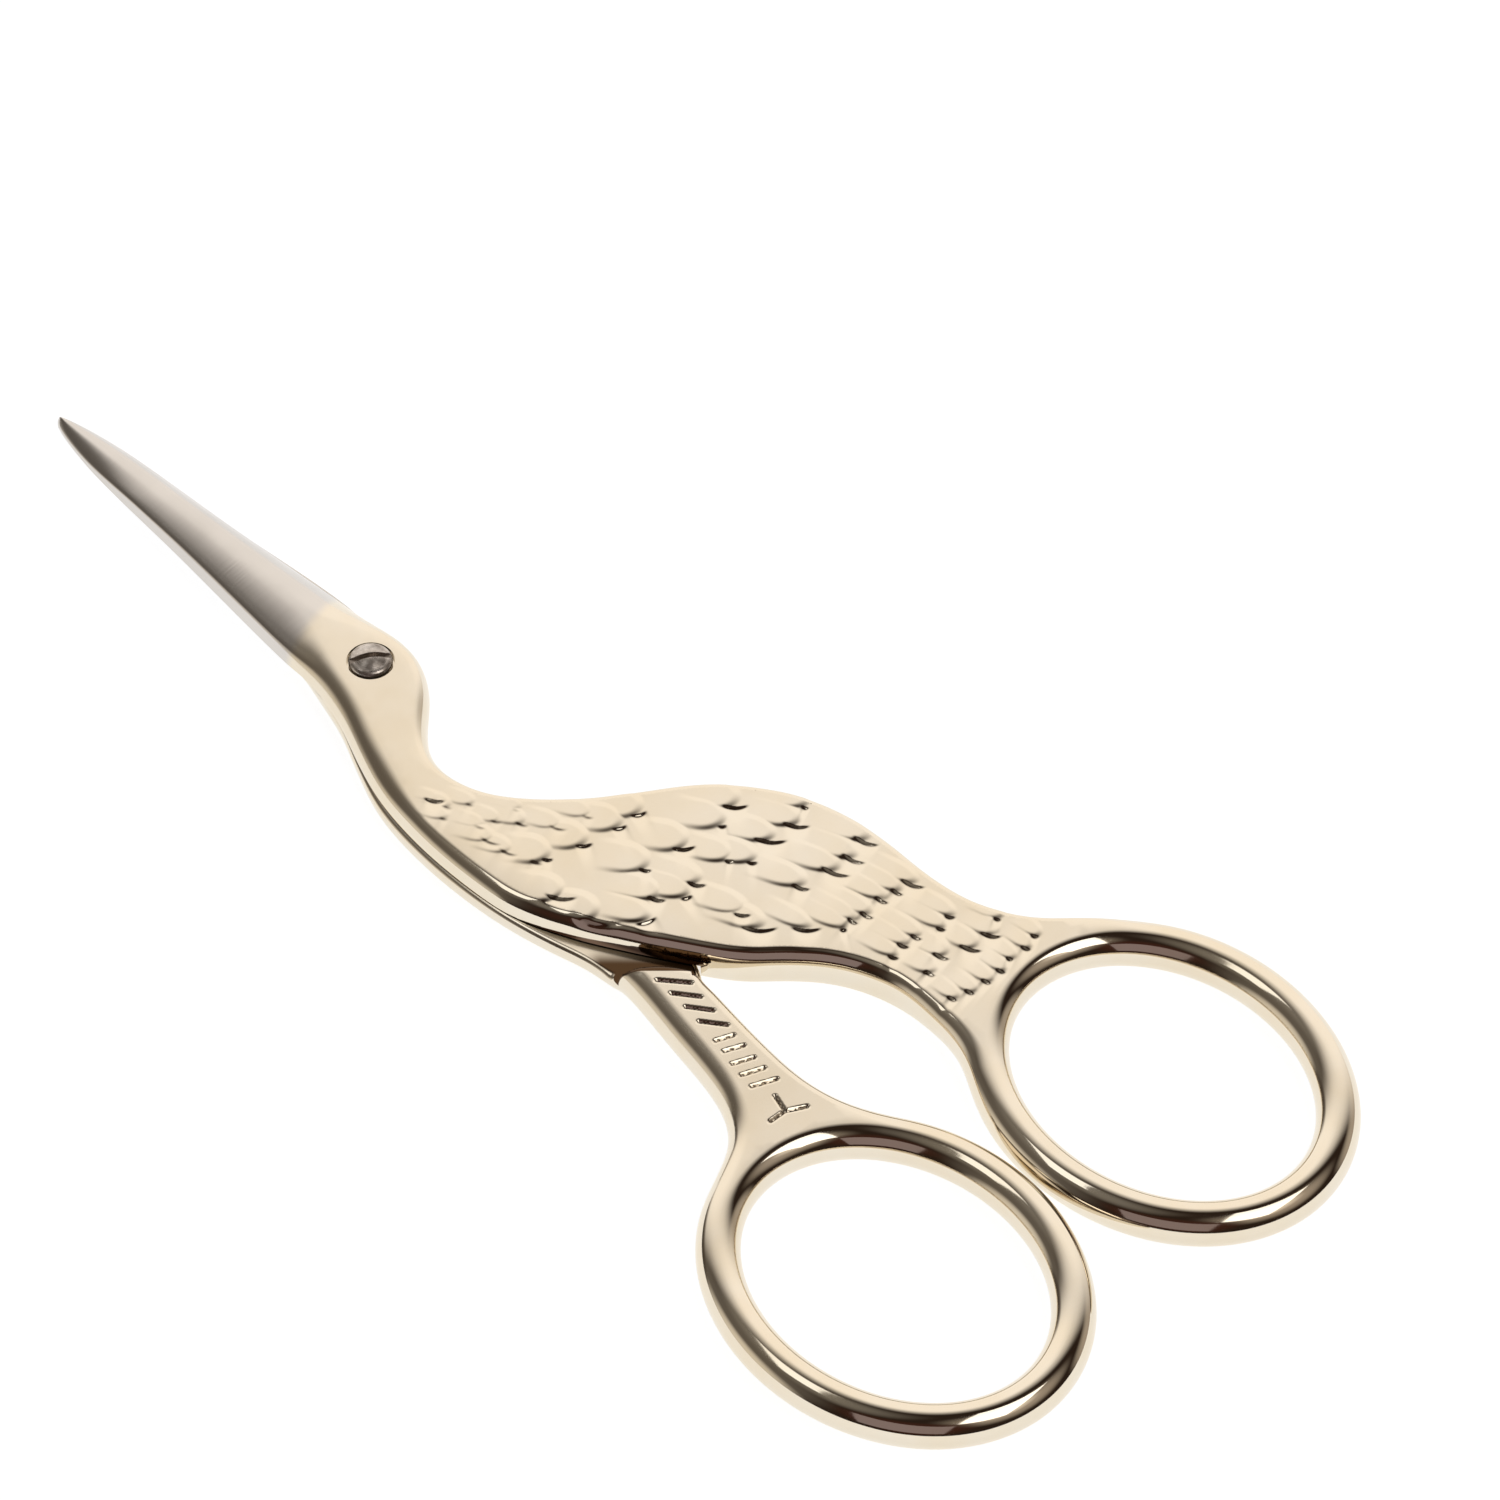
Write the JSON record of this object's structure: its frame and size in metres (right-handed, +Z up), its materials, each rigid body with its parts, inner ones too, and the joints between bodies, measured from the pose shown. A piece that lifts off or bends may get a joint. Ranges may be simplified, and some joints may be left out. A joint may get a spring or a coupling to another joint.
{
  "type": "embroidery scissors",
  "caption": "Stork-shaped embroidery scissors: gold-plated forged halves with bare steel blades and oval finger rings, crossing at a slotted pivot screw.",
  "frame": {"origin": "on the pivot axis, at the back of the pivot, in the plane that the scissors lie on", "axes": "+X from the pivot to the finger rings, along the length, so the blades point along -X; +Z up, out of the feathered face; +Y towards the front half's ring"},
  "size_m": [0.1145, 0.0504, 0.0039],
  "materials": {
    "front_half": "forged steel, polished and plated pale champagne gold, with the blade ground back to bare steel",
    "rear_half": "forged steel, polished and plated pale champagne gold, with the blade ground back to bare steel",
    "pivot_screw": "turned bright steel, with a worn slot"
  },
  "bodies": {
    "rear": {"rear_half": "rear_half", "pivot_screw": "pivot_screw"},
    "front": {"front_half": "front_half"}
  },
  "joints": [
    {"name": "pivot", "type": "hinge", "parent": "rear", "child": "front", "pos_m": [0, 0, 0.0016], "axis": [0, 0, 1], "range_deg": [0, 90]}
  ]
}
